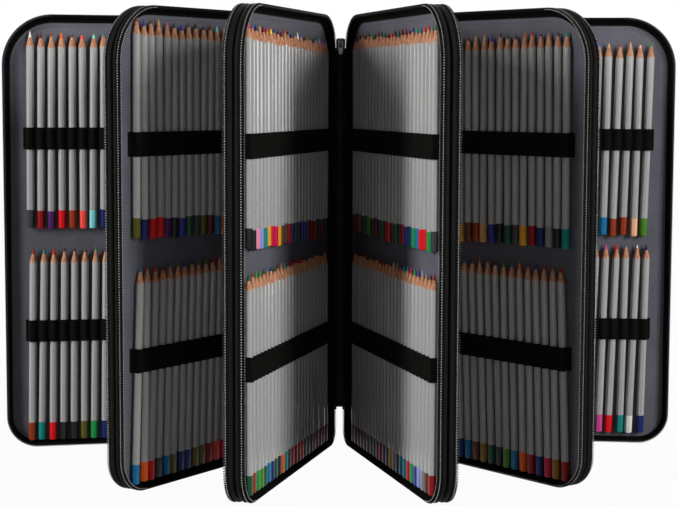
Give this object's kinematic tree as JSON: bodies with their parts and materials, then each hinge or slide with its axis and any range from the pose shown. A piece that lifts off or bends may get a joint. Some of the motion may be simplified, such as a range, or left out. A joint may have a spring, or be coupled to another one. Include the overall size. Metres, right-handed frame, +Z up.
{
  "type": "multi-layer pencil case",
  "caption": "Book-style zip-around case standing open like a fan, with stiff leaves hinged at the spine and rows of pencils held flat under elastic bands.",
  "frame": {"origin": "middle of the plan of the open case, on the surface that it stands on", "axes": "+Z up along the spine, +X to the right of someone looking into the open fan, +Y away from them towards the spine"},
  "size_m": [0.5846, 0.2798, 0.378],
  "materials": {
    "cover": "satin",
    "divider": "satin",
    "zip": "matte",
    "elastic": "matte",
    "spine_strip": "satin",
    "slider": "satin",
    "pull": "satin",
    "pencils": "satin"
  },
  "bodies": {
    "left_cover_leaf": {"left_cover": "cover", "pencils_1_left": "pencils", "elastic_1_left_bottom": "elastic", "elastic_1_left_top": "elastic"},
    "divider_1_leaf": {"divider_1": "divider", "zip_1_right": "zip", "zip_2_left": "zip", "pencils_1_right": "pencils", "elastic_1_right_bottom": "elastic", "elastic_1_right_top": "elastic", "pencils_2_left": "pencils", "elastic_2_left_bottom": "elastic", "elastic_2_left_top": "elastic", "spine_strip_1": "spine_strip"},
    "divider_2_leaf": {"divider_2": "divider", "zip_2_right": "zip", "zip_3_left": "zip", "pencils_2_right": "pencils", "elastic_2_right_bottom": "elastic", "elastic_2_right_top": "elastic", "pencils_3_left": "pencils", "elastic_3_left_bottom": "elastic", "elastic_3_left_top": "elastic", "spine_strip_2": "spine_strip", "spine_strip_3": "spine_strip"},
    "divider_3_leaf": {"divider_3": "divider", "zip_3_right": "zip", "zip_4_left": "zip", "pencils_3_right": "pencils", "elastic_3_right_bottom": "elastic", "elastic_3_right_top": "elastic", "pencils_4_left": "pencils", "elastic_4_left_bottom": "elastic", "elastic_4_left_top": "elastic", "spine_strip_4": "spine_strip"},
    "divider_4_leaf": {"divider_4": "divider", "zip_4_right": "zip", "zip_5_left": "zip", "pencils_4_right": "pencils", "elastic_4_right_bottom": "elastic", "elastic_4_right_top": "elastic", "pencils_5_left": "pencils", "elastic_5_left_bottom": "elastic", "elastic_5_left_top": "elastic", "spine_strip_5": "spine_strip"},
    "right_cover_leaf": {"right_cover": "cover", "pencils_5_right": "pencils", "elastic_5_right_bottom": "elastic", "elastic_5_right_top": "elastic"},
    "slider_1": {"slider_1": "slider"},
    "pull_1": {"pull_1": "pull"},
    "slider_2": {"slider_2": "slider"},
    "pull_2": {"pull_2": "pull"},
    "slider_3": {"slider_3": "slider"},
    "pull_3": {"pull_3": "pull"},
    "slider_4": {"slider_4": "slider"},
    "pull_4": {"pull_4": "pull"},
    "slider_5": {"slider_5": "slider"},
    "pull_5": {"pull_5": "pull"}
  },
  "joints": [
    {"name": "compartment_1_opening", "type": "hinge", "parent": "divider_1_leaf", "child": "left_cover_leaf", "pos_m": [-0.03295, 0.12909, 0.19], "axis": [0, 0, -1], "range_deg": [-44.1, 15.9], "deforming": ["spine_strip_1"]},
    {"name": "compartment_2_opening", "type": "hinge", "parent": "divider_2_leaf", "child": "divider_1_leaf", "pos_m": [-0.01831, 0.11896, 0.19], "axis": [0, 0, -1], "range_deg": [-18.95, 41.05], "deforming": ["spine_strip_2"]},
    {"name": "compartment_3_opening", "type": "hinge", "parent": "divider_2_leaf", "child": "divider_3_leaf", "pos_m": [-0.00118, 0.11413, 0.19], "axis": [0, 0, 1], "range_deg": [-31.5, 28.5], "deforming": ["spine_strip_3"]},
    {"name": "compartment_4_opening", "type": "hinge", "parent": "divider_3_leaf", "child": "divider_4_leaf", "pos_m": [0.01595, 0.11896, 0.19], "axis": [0, 0, 1], "range_deg": [-24.15, 35.85], "deforming": ["spine_strip_4"]},
    {"name": "compartment_5_opening", "type": "hinge", "parent": "divider_4_leaf", "child": "right_cover_leaf", "pos_m": [0.02961, 0.13038, 0.19], "axis": [0, 0, 1], "range_deg": [-44, 16], "deforming": ["spine_strip_5"]},
    {"name": "slider_1_travel", "type": "slide", "parent": "divider_1_leaf", "child": "slider_1", "axis": [0, 0, 1], "range_m": [0, 0.012]},
    {"name": "slider_2_travel", "type": "slide", "parent": "divider_2_leaf", "child": "slider_2", "axis": [0, 0, 1], "range_m": [0, 0.012]},
    {"name": "slider_3_travel", "type": "slide", "parent": "divider_2_leaf", "child": "slider_3", "axis": [0, 0, 1], "range_m": [0, 0.012]},
    {"name": "slider_4_travel", "type": "slide", "parent": "divider_3_leaf", "child": "slider_4", "axis": [0, 0, 1], "range_m": [0, 0.012]},
    {"name": "slider_5_travel", "type": "slide", "parent": "divider_4_leaf", "child": "slider_5", "axis": [0, 0, 1], "range_m": [0, 0.012]},
    {"name": "pull_1_swing", "type": "hinge", "parent": "slider_1", "child": "pull_1", "pos_m": [-0.03546, 0.12745, 0.3557], "axis": [-0.5483, 0.8363, 0], "range_deg": [0, 90]},
    {"name": "pull_2_swing", "type": "hinge", "parent": "slider_2", "child": "pull_2", "pos_m": [-0.01959, 0.11625, 0.3557], "axis": [-0.9046, 0.4262, 0], "range_deg": [0, 15]},
    {"name": "pull_3_swing", "type": "hinge", "parent": "slider_3", "child": "pull_3", "pos_m": [-0.00118, 0.11113, 0.3557], "axis": [-1, 0, 0], "range_deg": [0, 80]},
    {"name": "pull_4_swing", "type": "hinge", "parent": "slider_4", "child": "pull_4", "pos_m": [0.01735, 0.11631, 0.3557], "axis": [-0.8844, -0.4668, 0], "range_deg": [0, 18]},
    {"name": "pull_5_swing", "type": "hinge", "parent": "slider_5", "child": "pull_5", "pos_m": [0.03225, 0.12896, 0.3557], "axis": [-0.471, -0.8821, 0], "range_deg": [0, 90]}
  ]
}
